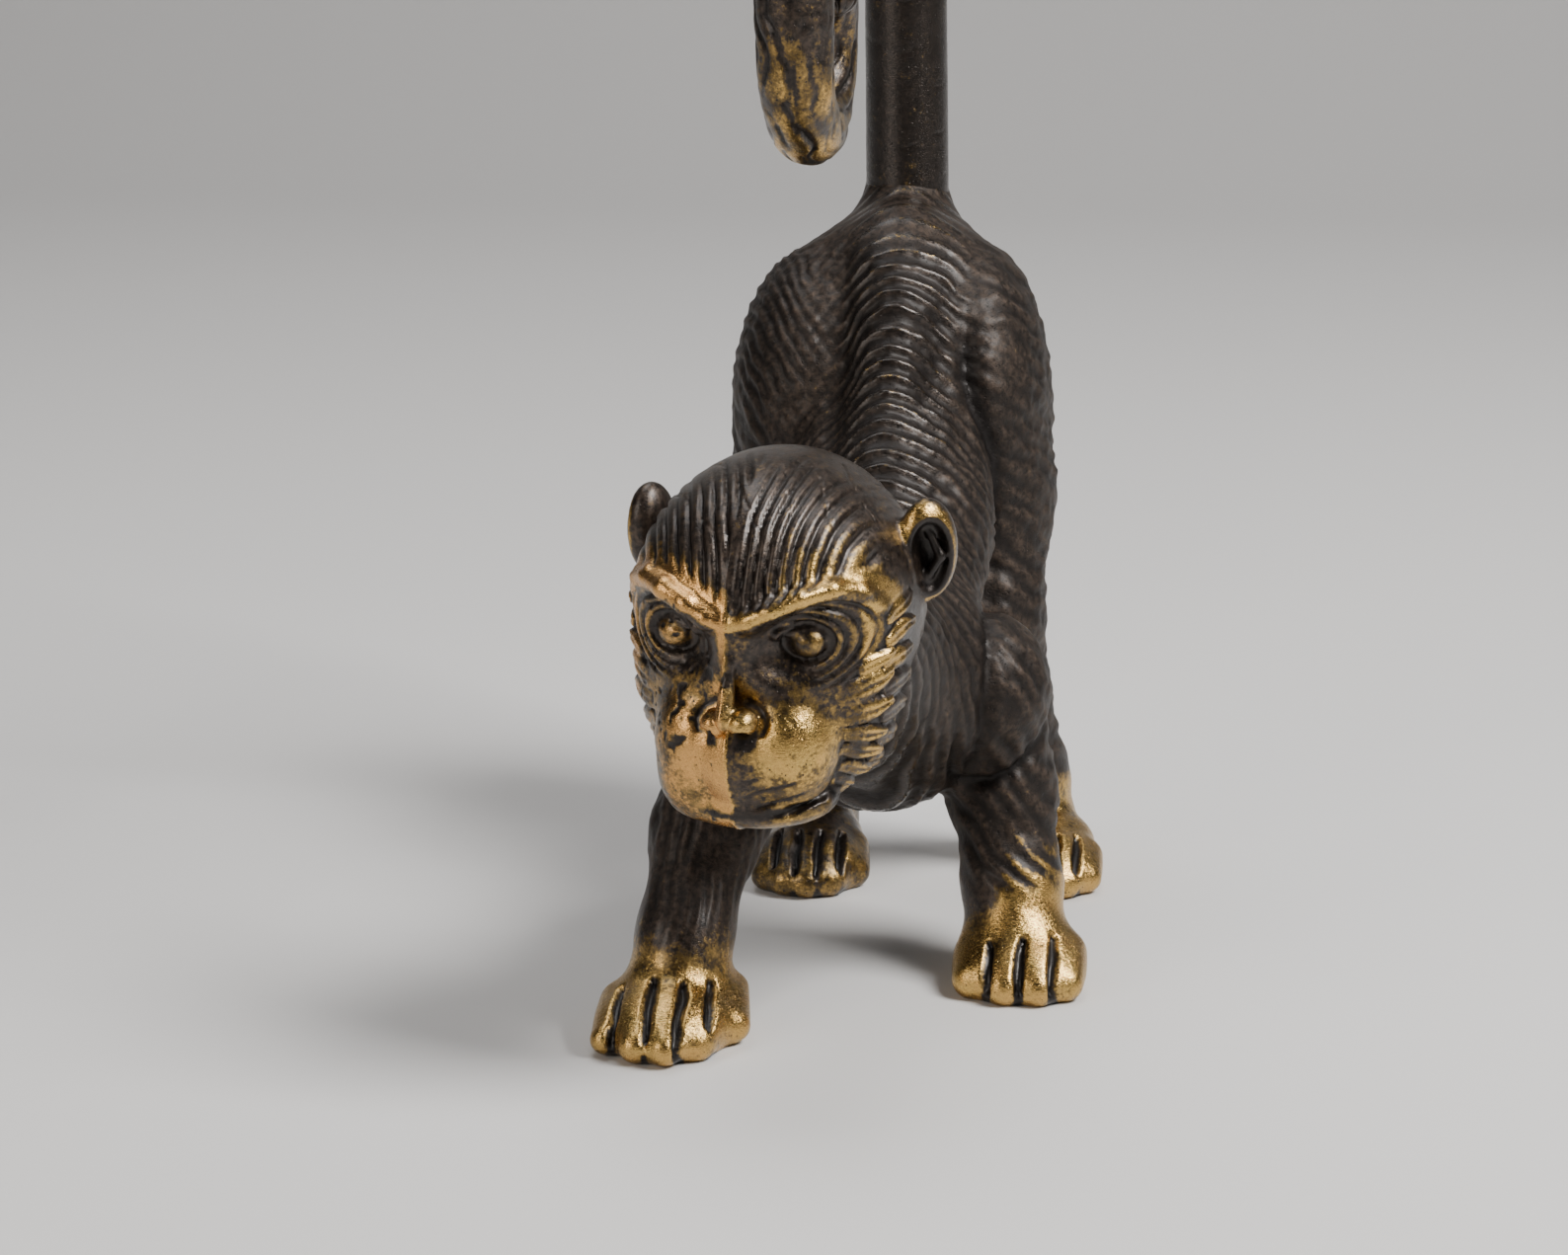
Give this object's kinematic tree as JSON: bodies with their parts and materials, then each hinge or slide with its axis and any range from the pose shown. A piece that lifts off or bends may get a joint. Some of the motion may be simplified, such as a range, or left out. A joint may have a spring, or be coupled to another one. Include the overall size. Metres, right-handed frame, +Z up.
{
  "type": "cast brass monkey figurine",
  "caption": "Cast brass monkey walking on all fours, head low and turned, with a tall tail that arches forward and ends in a curl; it stands free on its soles.",
  "frame": {"origin": "middle of the footprint's box, on the plane the four soles stand on", "axes": "+Z up, the monkey walks towards -Y, +X is its left side"},
  "size_m": [0.0692, 0.1557, 0.2182],
  "materials": {
    "dark_brass": "satin dark brown patina over cast brass, worn to metal on the high spots",
    "rubbed_brass": "rubbed bright on the high spots, dark patina left in the recesses"
  },
  "bodies": {
    "root": {"trunk_left": "dark_brass", "trunk_right": "dark_brass", "head_left": "rubbed_brass", "head_right": "rubbed_brass", "ear_left": "rubbed_brass", "ear_right": "rubbed_brass", "foreleg_left": "dark_brass", "foreleg_right": "dark_brass", "hindleg_left": "dark_brass", "hindleg_right": "dark_brass", "tail": "dark_brass"}
  },
  "joints": []
}
